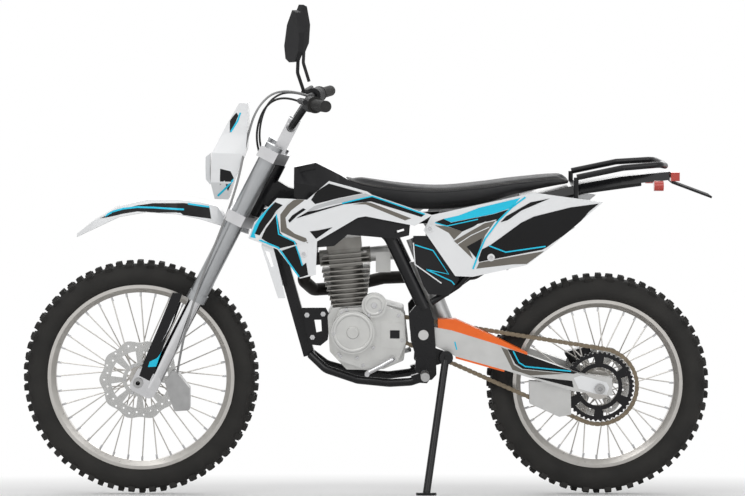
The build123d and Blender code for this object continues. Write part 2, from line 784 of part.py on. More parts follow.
os.makedirs("parts", exist_ok=True)
for name, solids in leaned.items():
    moved = [ground * solid for solid in solids]
    export_step(moved[0] if len(moved) == 1 else Compound(moved), f"parts/{name}.step")
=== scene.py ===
import math

import bmesh
import bpy
from mathutils import Matrix, Vector
from mathutils.bvhtree import BVHTree
from mathutils.geometry import tessellate_polygon


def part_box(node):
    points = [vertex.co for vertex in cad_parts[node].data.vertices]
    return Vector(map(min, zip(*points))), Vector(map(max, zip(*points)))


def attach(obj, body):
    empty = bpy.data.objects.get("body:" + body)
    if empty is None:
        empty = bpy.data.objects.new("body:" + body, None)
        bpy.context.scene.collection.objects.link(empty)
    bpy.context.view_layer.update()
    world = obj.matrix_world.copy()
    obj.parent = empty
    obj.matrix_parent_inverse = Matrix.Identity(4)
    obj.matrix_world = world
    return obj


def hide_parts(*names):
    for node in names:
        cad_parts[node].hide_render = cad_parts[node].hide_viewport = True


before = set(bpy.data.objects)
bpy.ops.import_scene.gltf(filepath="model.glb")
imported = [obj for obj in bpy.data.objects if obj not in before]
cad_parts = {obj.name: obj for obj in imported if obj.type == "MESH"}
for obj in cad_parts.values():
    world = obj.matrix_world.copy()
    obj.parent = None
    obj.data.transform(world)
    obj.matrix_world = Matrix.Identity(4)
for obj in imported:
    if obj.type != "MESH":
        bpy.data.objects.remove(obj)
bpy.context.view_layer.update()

# The bike stands leaned over on its side stand. Its measures are easier to
# read upright, with x forward from the rear axle and z up from the ground,
# so stand turns an upright place into where it is parked.
lean = math.radians(10)
rear_rim_low, rear_rim_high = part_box("rear_rim")
stand = (Matrix.Translation((rear_rim_low + rear_rim_high) / 2) @ Matrix.Rotation(-lean, 4, "X")
         @ Matrix.Translation((0, 0, -0.334)))
upright = stand.inverted()


def parked(x, y, z):
    """A place in upright millimetres, where it is on the parked bike in metres."""
    return stand @ Vector((x / 1000, y / 1000, z / 1000))


# The camera stands low on the bike's left, eight metres off, as the
# photograph was taken, with a long lens that keeps the wheels round.


def added(name, data):
    """A new object in the scene."""
    thing = bpy.data.objects.new(name, data)
    bpy.context.scene.collection.objects.link(thing)
    return thing


camera = added("camera", bpy.data.cameras.new("camera"))
camera_height = math.radians(-3.5)
camera_distance = 8.0
camera_back = Vector((0, math.cos(camera_height), math.sin(camera_height)))
camera.location = parked(673, 0, 741) + camera_back * camera_distance
camera.rotation_mode = "QUATERNION"
camera.rotation_quaternion = camera_back.to_track_quat("Z", "Y")
camera.data.sensor_width = 36
camera.data.lens = 129.7
bpy.context.scene.camera = camera
bpy.context.scene.view_settings.view_transform = "Standard"

# The frame's tubes are welded steel with a deep gloss black powder coat,
# which has a slight orange peel and catches dust in its joints.


def surface(name, dark, light, patch, rough, bump, metal=0.0, grain=900, coat=0.0):
    """A finish whose colour, roughness and relief all vary over the bike."""
    material = bpy.data.materials.new(name)
    material.use_nodes = True
    nodes, links = material.node_tree.nodes, material.node_tree.links
    shader = nodes["Principled BSDF"]
    shader.inputs["Metallic"].default_value = metal
    shader.inputs["Coat Weight"].default_value = coat
    # Near black finishes shine less, or the pale studio turns them grey.
    near_black = max(light) < 0.06
    shader.inputs["Specular IOR Level"].default_value = 0.2 if near_black else 0.5
    place = nodes.new("ShaderNodeTexCoord")
    mapping = nodes.new("ShaderNodeMapping")
    mapping.inputs["Location"].default_value = upright.to_translation()
    mapping.inputs["Rotation"].default_value = upright.to_euler()
    links.new(place.outputs["Object"], mapping.inputs["Vector"])

    def noise(scale, detail=2):
        texture = nodes.new("ShaderNodeTexNoise")
        texture.inputs["Scale"].default_value = scale
        texture.inputs["Detail"].default_value = detail
        links.new(mapping.outputs["Vector"], texture.inputs["Vector"])
        return texture.outputs["Fac"]

    mix = nodes.new("ShaderNodeMix")
    mix.data_type = "RGBA"
    mix.inputs[6].default_value = (*dark, 1)
    mix.inputs[7].default_value = (*light, 1)
    links.new(noise(patch, detail=5), mix.inputs[0])
    links.new(mix.outputs[2], shader.inputs["Base Color"])
    spread = nodes.new("ShaderNodeMapRange")
    spread.inputs["To Min"].default_value = rough[0]
    spread.inputs["To Max"].default_value = rough[1]
    links.new(noise(patch * 4), spread.inputs["Value"])
    links.new(spread.outputs["Result"], shader.inputs["Roughness"])
    relief = nodes.new("ShaderNodeBump")
    relief.inputs["Strength"].default_value = bump
    relief.inputs["Distance"].default_value = 0.0006
    links.new(noise(grain), relief.inputs["Height"])
    links.new(relief.outputs["Normal"], shader.inputs["Normal"])
    return material


def dress(material, *names):
    """Gives these pieces of the bike a finish."""
    for name in names:
        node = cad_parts[name]
        if node.material_slots:
            for place in node.material_slots:
                place.material = material
        else:
            node.data.materials.append(material)


frame_black = surface("frame_black", (0.004, 0.004, 0.005), (0.010, 0.010, 0.011), 14, (0.22, 0.36), 0.08, coat=0.15)
dress(frame_black, "frame_backbone", "down_tube", "engine_cradle", "frame_spars", "subframe", "side_stand",
      "rear_rack", "rear_caliper")

# The engine's case and covers are die cast aluminium, left in their pale
# satin skin, with a fine sandy grain.
cast_alloy = surface("cast_alloy", (0.50, 0.50, 0.49), (0.66, 0.66, 0.64), 22, (0.36, 0.52), 0.35, metal=0.75)
dress(cast_alloy, "engine_case", "engine_cover_left", "engine_cover_right", "carburettor")

# The cylinder and its head are finned castings. Their colour is painted warmer
# and darker than the covers, a painted shade that stands in for the shade between the fins.
fin_alloy_painted_shade = surface("fin_alloy_painted_shade", (0.20, 0.19, 0.175), (0.42, 0.41, 0.385), 30, (0.40, 0.58), 0.4, metal=0.8)
dress(fin_alloy_painted_shade, "cylinder", "cylinder_head")

# The cover screws are plated steel with a socket, set round the generator
# cover. All the bike's screws and bolts are made in this way.


def placed(name, mesh, body):
    """A mesh as a piece of the scene that rides on a body of the bike."""
    piece = added(name, mesh)
    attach(piece, body)
    return piece


def made_by(maker, finish):
    """The mesh that a maker comes to, in one finish, with the maker taken away."""
    bpy.context.view_layer.update()
    mesh = bpy.data.meshes.new_from_object(maker.evaluated_get(bpy.context.evaluated_depsgraph_get()))
    bpy.data.objects.remove(maker)
    if not mesh.materials:
        mesh.materials.append(finish)
    return mesh


def scatter(name, spots, vectors, inputs, build, finish, body):
    """Repeats one small solid over upright spots, with named vectors for each spot that build reads."""
    cloud = bpy.data.meshes.new(name + "_spots")
    cloud.from_pydata([parked(*spot) for spot in spots], [], [])
    for label, values in vectors.items():
        rows = cloud.attributes.new(label, "FLOAT_VECTOR", "POINT").data
        for row, value in zip(rows, values):
            row.vector = value
    maker = added(name + "_maker", cloud)
    tree = bpy.data.node_groups.new(name + "_tree", "GeometryNodeTree")
    tree.interface.new_socket("Geometry", in_out="INPUT", socket_type="NodeSocketGeometry")
    given_values = {}
    for label, kind, value in inputs:
        socket = tree.interface.new_socket(label, in_out="INPUT", socket_type=kind)
        given_values[socket.identifier] = value
    tree.interface.new_socket("Geometry", in_out="OUTPUT", socket_type="NodeSocketGeometry")
    nodes, links = tree.nodes, tree.links
    given = nodes.new("NodeGroupInput")
    put = nodes.new("GeometryNodeInstanceOnPoints")
    links.new(given.outputs["Geometry"], put.inputs["Points"])
    build(nodes, links, given, put)
    real = nodes.new("GeometryNodeRealizeInstances")
    links.new(put.outputs["Instances"], real.inputs["Geometry"])
    paint = nodes.new("GeometryNodeSetMaterial")
    paint.inputs["Material"].default_value = finish
    links.new(real.outputs["Geometry"], paint.inputs["Geometry"])
    links.new(paint.outputs["Geometry"], nodes.new("NodeGroupOutput").inputs["Geometry"])
    modifier = maker.modifiers.new("repeat", "NODES")
    modifier.node_group = tree
    for identifier, value in given_values.items():
        modifier[identifier] = value
    return placed(name, made_by(maker, finish), body)


def spot_vector(nodes, label):
    """The named vector of each spot, as a socket."""
    read = nodes.new("GeometryNodeInputNamedAttribute")
    read.data_type = "FLOAT_VECTOR"
    read.inputs["Name"].default_value = label
    return read.outputs["Attribute"]


def screws(name, spots, radius, height, sides, finish, body):
    """Screw or bolt heads with a recess, at places in upright mm with the way each one faces."""
    top_share, recess_share, recess_depth = 0.88, 0.52, -0.55

    def head(nodes, links, given, put):
        def part_of(label, share):
            product = nodes.new("ShaderNodeMath")
            product.operation = "MULTIPLY"
            product.inputs[1].default_value = share
            links.new(given.outputs[label], product.inputs[0])
            return product.outputs[0]

        cone = nodes.new("GeometryNodeMeshCone")
        links.new(given.outputs["Head Sides"], cone.inputs["Vertices"])
        links.new(given.outputs["Head Radius"], cone.inputs["Radius Bottom"])
        links.new(given.outputs["Head Height"], cone.inputs["Depth"])
        links.new(part_of("Head Radius", top_share), cone.inputs["Radius Top"])
        inner = nodes.new("GeometryNodeExtrudeMesh")
        inner.inputs["Offset Scale"].default_value = 0
        links.new(cone.outputs["Mesh"], inner.inputs["Mesh"])
        links.new(cone.outputs["Top"], inner.inputs["Selection"])
        shrink = nodes.new("GeometryNodeScaleElements")
        shrink.inputs["Scale"].default_value = recess_share
        links.new(inner.outputs["Mesh"], shrink.inputs["Geometry"])
        links.new(inner.outputs["Top"], shrink.inputs["Selection"])
        sink = nodes.new("GeometryNodeExtrudeMesh")
        links.new(part_of("Head Height", recess_depth), sink.inputs["Offset Scale"])
        links.new(shrink.outputs["Geometry"], sink.inputs["Mesh"])
        links.new(inner.outputs["Top"], sink.inputs["Selection"])
        turn = nodes.new("FunctionNodeAlignRotationToVector")
        turn.axis = "Z"
        links.new(spot_vector(nodes, "way"), turn.inputs["Vector"])
        links.new(sink.outputs["Mesh"], put.inputs["Instance"])
        links.new(turn.outputs["Rotation"], put.inputs["Rotation"])

    ways = [(stand.to_3x3() @ Vector(way)).normalized() for spot, way in spots]
    inputs = (("Head Radius", "NodeSocketFloat", radius / 1000), ("Head Height", "NodeSocketFloat", height / 1000),
              ("Head Sides", "NodeSocketInt", sides))
    return scatter(name, [spot for spot, way in spots], {"way": ways}, inputs, head, finish, body)


plated_steel = surface("plated_steel", (0.46, 0.46, 0.47), (0.66, 0.66, 0.67), 60, (0.18, 0.32), 0.08, metal=0.95)


known_skins = {}


def skins(*names):
    """The outer faces of some pieces, turned upright, to lay things on."""
    if names not in known_skins:
        points, faces = [], []
        for name in names:
            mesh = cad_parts[name].data
            start = len(points)
            points += [upright @ vertex.co for vertex in mesh.vertices]
            faces += [[start + i for i in polygon.vertices] for polygon in mesh.polygons]
        known_skins[names] = BVHTree.FromPolygons(points, faces)
    return known_skins[names]


def on_face(node, places, side):
    """The spots of these x and z on a piece's outer face, seen from one side, each with its way out."""
    sunk, spots = 0.4, []
    for x, z in places:
        hit = skins(node).ray_cast(Vector((x / 1000, side * 0.6, z / 1000)), Vector((0, -side, 0)))[0]
        if hit is not None:
            spots.append(((x, hit.y * 1000 - side * sunk, z), (0, side, 0)))
    return spots


def polar(radius, angle):
    """A place across and up from a middle, at a radius and an angle."""
    return radius * math.cos(angle), radius * math.sin(angle)


generator, generator_screw_circle = (731, 498), 74
screw_angles = [math.radians(angle) for angle in (20, 75, 130, 215, 260, 305, 345)]
screw_places = [polar(generator_screw_circle, angle) for angle in screw_angles]
cover_screws = on_face("engine_cover_left", [(generator[0] + x, generator[1] + z) for x, z in screw_places], 1)
screws("generator_cover_screws", cover_screws, 5.2, 5, 12, plated_steel, "chassis")

# The exhaust is mild steel pipe in heatproof black, and the silencer is a
# brushed steel can.
exhaust_black = surface("exhaust_black", (0.016, 0.015, 0.014), (0.045, 0.040, 0.036), 18, (0.42, 0.60), 0.2, metal=0.3)
dress(exhaust_black, "exhaust_header")
brushed_can = surface("brushed_can", (0.42, 0.42, 0.42), (0.56, 0.56, 0.55), 26, (0.28, 0.40), 0.12, metal=0.9)
dress(brushed_can, "silencer")

# The tank and the rear fender are moulded in glossy black plastic.
gloss_black = surface("gloss_black", (0.004, 0.004, 0.005), (0.008, 0.008, 0.009), 9, (0.16, 0.26), 0.04, coat=0.15)
dress(gloss_black, "fuel_tank", "rear_fender")

# The airbox, controls, mirrors and plate bracket are plain black plastic
# with the fine grain of their moulds.
grained_black = surface("grained_black", (0.008, 0.008, 0.009), (0.020, 0.020, 0.021), 16, (0.46, 0.62), 0.5,
                        grain=1400)
dress(grained_black, "airbox", "controls", "mirrors", "plate_bracket")

# The shrouds, side panels, front fender, lamp mask and fork guards are
# moulded in white or black plastic, and carry plain film stripes.
gloss_white = surface("gloss_white", (0.76, 0.77, 0.78), (0.83, 0.84, 0.85), 7, (0.20, 0.30), 0.03, coat=0.3)
dress(gloss_white, "shroud_left", "shroud_right", "side_panel_left", "side_panel_right", "front_fender",
      "headlight_mask")
dress(gloss_black, "fork_guards")
film_cyan = surface("film_cyan", (0.0, 0.50, 0.74), (0.0, 0.60, 0.83), 12, (0.18, 0.28), 0.03)
film_black = surface("film_black", (0.004, 0.004, 0.004), (0.008, 0.008, 0.009), 12, (0.18, 0.30), 0.03)
film_warm = surface("film_warm", (0.11, 0.10, 0.085), (0.16, 0.145, 0.12), 12, (0.30, 0.42), 0.05)
film_silver = surface("film_silver", (0.44, 0.45, 0.46), (0.56, 0.57, 0.58), 12, (0.28, 0.38), 0.05, metal=0.4)
film_white = surface("film_white", (0.78, 0.79, 0.80), (0.84, 0.85, 0.86), 12, (0.22, 0.30), 0.03)


def film(name, outlines, node, side, lift, finish, body, cell=0.010):
    """A closed film in one colour, cut to outlines in upright x and z and laid on a piece."""
    film_thickness, edge_reach = 0.0003, 0.03
    hull = skins(node)
    points, faces = [], []
    for outline in outlines:
        flat = [Vector((x / 1000, z / 1000, 0)) for x, z in outline]
        cut = bmesh.new()
        corners = [cut.verts.new((p.x, 0, p.y)) for p in flat]
        for triangle in tessellate_polygon([flat]):
            a, b, c = (flat[i] for i in triangle)
            if abs((b - a).cross(c - a).z) > 1e-9:
                ring = [corners[i] for i in triangle]
                if cut.faces.get(ring) is None:
                    cut.faces.new(ring)
        for axis, way in ((0, Vector((1, 0, 0))), (2, Vector((0, 0, 1)))):
            low = min(v.co[axis] for v in cut.verts)
            high = max(v.co[axis] for v in cut.verts)
            for step in range(1, int((high - low) / cell) + 1):
                everything = cut.verts[:] + cut.edges[:] + cut.faces[:]
                bmesh.ops.bisect_plane(cut, geom=everything, plane_co=way * (low + step * cell), plane_no=way)
        bmesh.ops.remove_doubles(cut, verts=cut.verts, dist=1e-6)
        cut.verts.ensure_lookup_table()
        start, landed = len(points), []
        for vertex in cut.verts:
            aim = Vector((vertex.co.x, side * 0.6, vertex.co.z))
            landed.append(hull.ray_cast(aim, Vector((0, -side, 0)))[0])
        depths = [spot.y for spot in landed if spot is not None]
        # A corner past the piece's edge is brought back to that edge.
        for vertex, spot in zip(cut.verts, landed):
            if spot is None and depths:
                aim = Vector((vertex.co.x, sum(depths) / len(depths), vertex.co.z))
                nearest, _, _, gap = hull.find_nearest(aim)
                if gap < edge_reach:
                    spot = nearest
            points.append(spot)
        for polygon in cut.faces:
            ring = [corner.index for corner in polygon.verts]
            if (polygon.normal.y > 0) != (side > 0):
                ring.reverse()
            whole_ring = all(points[start + i] is not None for i in ring)
            if whole_ring and any(landed[i] is not None for i in ring):
                faces.append([start + i for i in ring])
        cut.free()
    if not faces:
        return None
    used = sorted({i for ring in faces for i in ring})
    renamed = {old: new for new, old in enumerate(used)}
    faces = [[renamed[i] for i in ring] for ring in faces]
    outward = Vector((0, side, 0))
    low = [points[i] + outward * (lift / 1000) for i in used]
    high = [point + outward * film_thickness for point in low]
    count = len(used)
    whole = list(faces) + [[i + count for i in reversed(ring)] for ring in faces]
    edges = [edge for ring in faces for edge in zip(ring, ring[1:] + ring[:1])]
    known_edges = set(edges)
    for a, b in dict.fromkeys(edges):
        if (b, a) not in known_edges:
            whole.append([b, a, a + count, b + count])
    mesh = bpy.data.meshes.new(name)
    mesh.from_pydata([stand @ p for p in high + low], [], whole)
    mesh.materials.append(finish)
    return placed(name, mesh, body)


def line(points, width=3):
    """A stripe of even width along some points, as one outline."""
    path = [Vector(p) for p in points]
    left, right = [], []
    for i, p in enumerate(path):
        way = Vector((0, 0))
        if i:
            way += (p - path[i - 1]).normalized()
        if i + 1 < len(path):
            way += (path[i + 1] - p).normalized()
        way.normalize()
        across = Vector((-way.y, way.x)) * width / 2
        left.append(tuple(p + across))
        right.append(tuple(p - across))
    return left + right[::-1]


shroud_films = {
    "warm": (0.10, film_warm, [
        [(942, 857), (941, 807), (923, 798), (884, 780), (861, 773), (867, 788), (900, 801), (923, 819), (927, 848),
         (911, 869), (877, 895), (863, 913), (899, 903), (922, 884)],
        [(731, 887), (693, 894), (678, 892), (560, 846), (578, 840), (693, 887)]]),
    "silver": (0.10, film_silver, [
        [(862, 869), (843, 882), (770, 904), (693, 919), (678, 913), (731, 900), (808, 882), (854, 867)]]),
    "black": (0.45, film_black, [
        [(1017, 801), (1014, 818), (997, 848), (988, 860), (957, 894), (935, 885), (954, 868), (966, 848), (983, 827),
         (997, 805), (1003, 796)],
        [(997, 787), (987, 812), (964, 843), (953, 860), (949, 843), (943, 805), (930, 791), (899, 778), (893, 770),
         (949, 757)],
        [(938, 751), (896, 766), (888, 743), (879, 706), (867, 716), (861, 680), (886, 672)],
        [(919, 840), (907, 855), (875, 876), (867, 872), (892, 855), (915, 833)],
        [(896, 846), (862, 866), (831, 871), (762, 889), (731, 896), (678, 912), (520, 858), (530, 850), (678, 896),
         (758, 887), (800, 875), (862, 856)],
        [(856, 808), (831, 811), (789, 820), (838, 786)],
        [(836, 926), (800, 948), (700, 920), (770, 906), (840, 888), (852, 900)]]),
    "cyan": (0.80, film_cyan, [
        [(1030, 791), (1017, 826), (1001, 852), (983, 870), (958, 894), (980, 868), (1003, 832), (1017, 800),
         (1014, 788)],
        line([(1004, 783), (948, 760), (914, 711), (888, 674)], 5),
        line([(954, 861), (947, 800), (901, 778), (886, 735), (878, 707)], 4),
        line([(762, 890), (731, 898), (674, 911), (520, 858)], 4)]),
    "white": (1.15, film_white, [line([(1002, 783), (985, 818), (952, 862), (910, 898), (861, 915)], 2.5),
                                 line([(947, 753), (903, 766), (845, 783)], 2.5)]),
}
panel_films = {
    "warm": (0.10, film_warm, [
        [(490, 822), (459, 820), (409, 804), (434, 780), (450, 800)],
        [(434, 776), (385, 805), (343, 829), (313, 835), (343, 792), (356, 759), (393, 759), (378, 722)],
        [(368, 694), (360, 712), (175, 745), (170, 745), (220, 708), (261, 707)]]),
    "black": (0.45, film_black, [
        [(490, 831), (465, 841), (442, 830), (318, 855), (265, 872), (302, 835), (343, 833), (409, 804), (459, 821)],
        [(397, 759), (352, 784), (360, 743), (366, 722)],
        [(352, 751), (327, 764), (294, 788), (237, 830), (200, 848), (93, 875), (10, 886), (39, 862), (76, 818),
         (162, 757), (175, 750), (360, 714), (362, 722)],
        [(281, 849), (210, 890), (154, 901), (236, 866), (277, 837), (298, 831)]]),
    "cyan": (0.80, film_cyan, [
        [(465, 841), (421, 851), (360, 874), (240, 903), (265, 874), (318, 856), (442, 831)],
        line([(490, 830), (455, 820), (364, 840)], 3),
        line([(331, 762), (282, 743), (165, 760)], 4),
        line([(225, 905), (265, 875), (302, 838), (343, 782), (360, 743), (378, 693)], 5)]),
    "white": (1.15, film_white, [line([(438, 776), (364, 825), (310, 838)], 2.5),
                                 line([(430, 762), (385, 792), (331, 817)], 2.5)]),
}
fender_films = {
    "black": (0.10, film_black, [
        [(1480, 834), (1453, 839), (1410, 850), (1367, 857), (1321, 855), (1229, 846), (1150, 834), (1156, 868),
         (1229, 880), (1321, 880), (1367, 874), (1430, 858)]]),
    "cyan": (0.45, film_cyan, [
        line([(1473, 846), (1410, 864), (1367, 869), (1321, 868), (1230, 862)], 5),
        line([(1219, 878), (1156, 868)], 5)]),
}
mask_films = {
    "black": (0.10, film_black, [
        [(1121, 985), (1122, 936), (1108, 951), (1099, 918), (1080, 958), (1090, 978)],
        [(1093, 1089), (1084, 1099), (1068, 1140), (1074, 1148), (1087, 1133), (1093, 1124)]]),
    "cyan": (0.45, film_cyan, [line([(1130, 902), (1102, 930), (1079, 956)], 6),
                               line([(1090, 1092), (1070, 1124), (1062, 1148)], 5)]),
}
guard_films = {
    "white": (0.10, film_white, [[(1230, 600), (1239, 574), (1255, 545), (1295, 476), (1284, 493), (1260, 548)]]),
    "cyan": (0.45, film_cyan, [
        [(1240, 524), (1266, 482), (1300, 404), (1335, 402), (1330, 418), (1308, 429), (1287, 456), (1261, 506)]]),
}
for ending, side in (("left", 1), ("right", -1)):
    for films, node, body in ((shroud_films, "shroud_" + ending, "chassis"),
                              (panel_films, "side_panel_" + ending, "chassis"),
                              (fender_films, "front_fender", "steering"),
                              (mask_films, "headlight_mask", "steering"),
                              (guard_films, "fork_guards", "steering")):
        for colour, (lift, finish, outlines) in films.items():
            base = node if node.endswith(ending) else node + "_" + ending
            film(base + "_film_" + colour, outlines, node, side, lift, finish, body)

# The panels are held by steel bolts, each on a wide washer.
panel_bolts = []
for side, ending in ((1, "left"), (-1, "right")):
    for panel, places in (("shroud_", [(874, 742)]), ("side_panel_", [(505, 812), (325, 727)])):
        panel_bolts += on_face(panel + ending, places, side)
washer_rise = 1.4
screws("panel_washers", panel_bolts, 12, 2.2, 20, film_white, "chassis")
screws("panel_bolts", [((x, y + way[1] * washer_rise, z), way) for (x, y, z), way in panel_bolts], 6.5, 4.5, 6,
       plated_steel, "chassis")

# The rear arm is welded alloy box section, with an orange slider under the
# chain. The guide, pedals and levers are pressed and plated steel.
arm_alloy = surface("arm_alloy", (0.52, 0.52, 0.51), (0.66, 0.66, 0.65), 20, (0.30, 0.42), 0.15, metal=0.85)
dress(arm_alloy, "swingarm", "chain_guide")
slider_orange = surface("slider_orange", (0.80, 0.11, 0.004), (0.95, 0.17, 0.012), 24, (0.34, 0.46), 0.2)
dress(slider_orange, "chain_slider")
oiled_steel = surface("oiled_steel", (0.13, 0.10, 0.07), (0.30, 0.25, 0.18), 90, (0.30, 0.50), 0.2, metal=0.85)
dress(oiled_steel, "chain")
bare_steel = surface("bare_steel", (0.34, 0.34, 0.34), (0.50, 0.50, 0.50), 40, (0.28, 0.42), 0.15, metal=0.9)
dress(bare_steel, "rear_shock", "footpegs", "brake_pedal", "rear_axle", "front_axle", "front_caliper")
dress(plated_steel, "gear_lever")

# The clamps and risers are machined alloy, and the fork's upper tubes are
# clear anodised, with hard chromed sliders below.
machined_alloy = surface("machined_alloy", (0.54, 0.54, 0.55), (0.68, 0.68, 0.69), 30, (0.26, 0.38), 0.1, metal=0.9)
dress(machined_alloy, "triple_clamps", "handlebar_risers")
fork_grey = surface("fork_grey", (0.34, 0.35, 0.36), (0.44, 0.45, 0.46), 18, (0.26, 0.36), 0.08, metal=0.85)
dress(fork_grey, "fork_outer")
hard_chrome = surface("hard_chrome", (0.60, 0.60, 0.61), (0.72, 0.72, 0.73), 40, (0.08, 0.16), 0.02, metal=1.0)
dress(hard_chrome, "fork_inner")
dress(frame_black, "handlebar")

# The grips are soft rubber with a dusty bloom.
grip_rubber = surface("grip_rubber", (0.018, 0.018, 0.018), (0.040, 0.039, 0.037), 40, (0.62, 0.80), 0.6, grain=1200)
dress(grip_rubber, "grips")

# The lamps have moulded clear and red lenses.
clear_lens = surface("clear_lens", (0.62, 0.64, 0.66), (0.76, 0.78, 0.80), 30, (0.04, 0.10), 0.05, coat=0.8)
dress(clear_lens, "headlight_lens")
red_lens = surface("red_lens", (0.36, 0.010, 0.004), (0.56, 0.030, 0.008), 40, (0.08, 0.16), 0.15, coat=0.8)
dress(red_lens, "tail_lights")

# The tyres are knobbly rubber: a round casing, with blocks of tread in rows
# over its crown and shoulders. Each row is staggered from the next one.


def closed_mesh(name, points, faces, finish, smooth):
    """A mesh of parked points in one finish, with every face turned outwards."""
    mesh = bpy.data.meshes.new(name)
    mesh.from_pydata(points, [], faces)
    whole = bmesh.new()
    whole.from_mesh(mesh)
    bmesh.ops.recalc_face_normals(whole, faces=whole.faces)
    whole.to_mesh(mesh)
    whole.free()
    mesh.materials.append(finish)
    mesh.polygons.foreach_set("use_smooth", [smooth] * len(mesh.polygons))
    return mesh


def make_piece(name, points, faces, finish, body, smooth=False):
    """A closed piece from upright points in mm, riding on a body of the bike."""
    mesh = closed_mesh(name, [parked(*point) for point in points], faces, finish, smooth)
    return placed(name, mesh, body)


def turned(name, centre, profile, steps, finish, body):
    """A closed ring of one section, turned round the axle's way. The section is side and radius."""
    points, faces, count = [], [], len(profile)
    for step in range(steps):
        angle = 2 * math.pi * step / steps
        for side, radius in profile:
            points.append((centre[0] + radius * math.cos(angle), centre[1] + side,
                           centre[2] + radius * math.sin(angle)))
    for step in range(steps):
        after = (step + 1) % steps
        for k in range(count):
            n = (k + 1) % count
            faces.append([step * count + k, step * count + n, after * count + n, after * count + k])
    return make_piece(name, points, faces, finish, body, True)


def blocks(name, items, sides, finish, body):
    """Tapered blocks on a surface: each has a foot, its three upright ways and its size in mm."""
    foot_radius, top_radius = (0.70, 0.60) if sides == 4 else (0.5, 0.5)

    def block(nodes, links, given, put):
        cone = nodes.new("GeometryNodeMeshCone")
        links.new(given.outputs["Block Sides"], cone.inputs["Vertices"])
        cone.inputs["Radius Bottom"].default_value = foot_radius
        cone.inputs["Radius Top"].default_value = top_radius
        cone.inputs["Depth"].default_value = 1
        square = nodes.new("GeometryNodeTransform")
        square.inputs["Rotation"].default_value = (0, 0, math.pi / 4 if sides == 4 else 0)
        links.new(cone.outputs["Mesh"], square.inputs["Geometry"])
        links.new(square.outputs["Geometry"], put.inputs["Instance"])
        links.new(spot_vector(nodes, "turn"), put.inputs["Rotation"])
        links.new(spot_vector(nodes, "span"), put.inputs["Scale"])

    turns = []
    for foot, ways, size in items:
        axes = [(stand.to_3x3() @ Vector(way)).normalized() for way in ways]
        turns.append(Matrix([[axis[row] for axis in axes] for row in range(3)]).to_euler())
    spans = [Vector(size) / 1000 for foot, ways, size in items]
    return scatter(name, [foot for foot, ways, size in items], {"turn": turns, "span": spans},
                   [("Block Sides", "NodeSocketInt", sides)], block, finish, body)


def wheel_ways(angle):
    """The ways outwards and along the rim, at an angle round a wheel."""
    return Vector((math.cos(angle), 0, math.sin(angle))), Vector((-math.sin(angle), 0, math.cos(angle)))


tread_rubber = surface("tread_rubber", (0.014, 0.014, 0.014), (0.042, 0.040, 0.037), 12, (0.66, 0.86), 0.7, grain=700)
# Each wheel: its middle, radius, half width, rim radius and pitches of tread.
wheels = {"front": ((1365, 0, 354), 354, 42, 279, 34), "rear": ((0, 0, 334), 334, 52, 254, 30)}
for which, (centre, radius, half, rim_radius, pitches) in wheels.items():
    seat_radius, crown = rim_radius + 0.4, radius - 14
    casing = [(-22, seat_radius), (22, seat_radius), (half - 8, seat_radius + 14), (half - 4, seat_radius + 30),
              (half - 9, crown - 10), (half - 17, crown - 3), (half - 30, crown), (30 - half, crown),
              (17 - half, crown - 3), (9 - half, crown - 10), (4 - half, seat_radius + 30),
              (8 - half, seat_radius + 14)]
    tyre_piece = turned(which + "_tyre_casing", centre, casing, 96, tread_rubber, which + "_wheel")
    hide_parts(which + "_tyre")
    knobs, shoulder_tilt = [], 0.62
    for step in range(pitches * 2):
        angle = math.pi * step / pitches
        out, along = wheel_ways(angle)
        flank = Vector((0, 1, 0))
        middle = Vector(centre) + out * (crown - 2)
        spread = 11 if step % 2 else 0
        for y in ((-spread, spread) if step % 2 else (0,)):
            width = 17 if step % 2 else 22
            knobs.append((tuple(middle + flank * y), (along, flank.copy(), along.cross(flank)), (19, width, 13.5)))
        if step % 2 == 0:
            for side in (-1, 1):
                tilt = (out * math.cos(shoulder_tilt) + flank * side * math.sin(shoulder_tilt)).normalized()
                foot = Vector(centre) + out * (crown - 8) + flank * side * (half - 17)
                knobs.append((tuple(foot), (along, tilt.cross(along), tilt), (21, 15, 15)))
    for foot, ways, size in knobs:
        if Vector(ways[2]).dot(Vector(foot) - Vector(centre)) < 0:
            ways[2].negate()
            ways[1].negate()
    tread = blocks(which + "_tyre_blocks", knobs, 4, tread_rubber, which + "_wheel")

# The rims are polished alloy and the hubs cast, laced with steel spokes,
# each screwed into a nipple at the rim.
rim_alloy = surface("rim_alloy", (0.52, 0.50, 0.47), (0.66, 0.64, 0.61), 24, (0.24, 0.36), 0.08, metal=0.9)
dress(rim_alloy, "front_rim", "rear_rim", "front_hub", "rear_hub")
for which, (centre, radius, half, rim_radius, pitches) in wheels.items():
    nipples = []
    for step in range(36):
        angle = math.radians(step * 10)
        out, along = wheel_ways(angle)
        foot = Vector(centre) + out * (rim_radius - 24) + Vector((0, 5 if step % 2 else -5, 0))
        nipples.append((tuple(foot), (along, (-out).cross(along), -out), (6.5, 6.5, 13)))
    blocks(which + "_spoke_nipples", nipples, 6, plated_steel, which + "_wheel")

# The discs and the sprocket are cut from steel plate: a waved edge, windows
# and rows of holes for the discs, and teeth and windows for the sprocket.


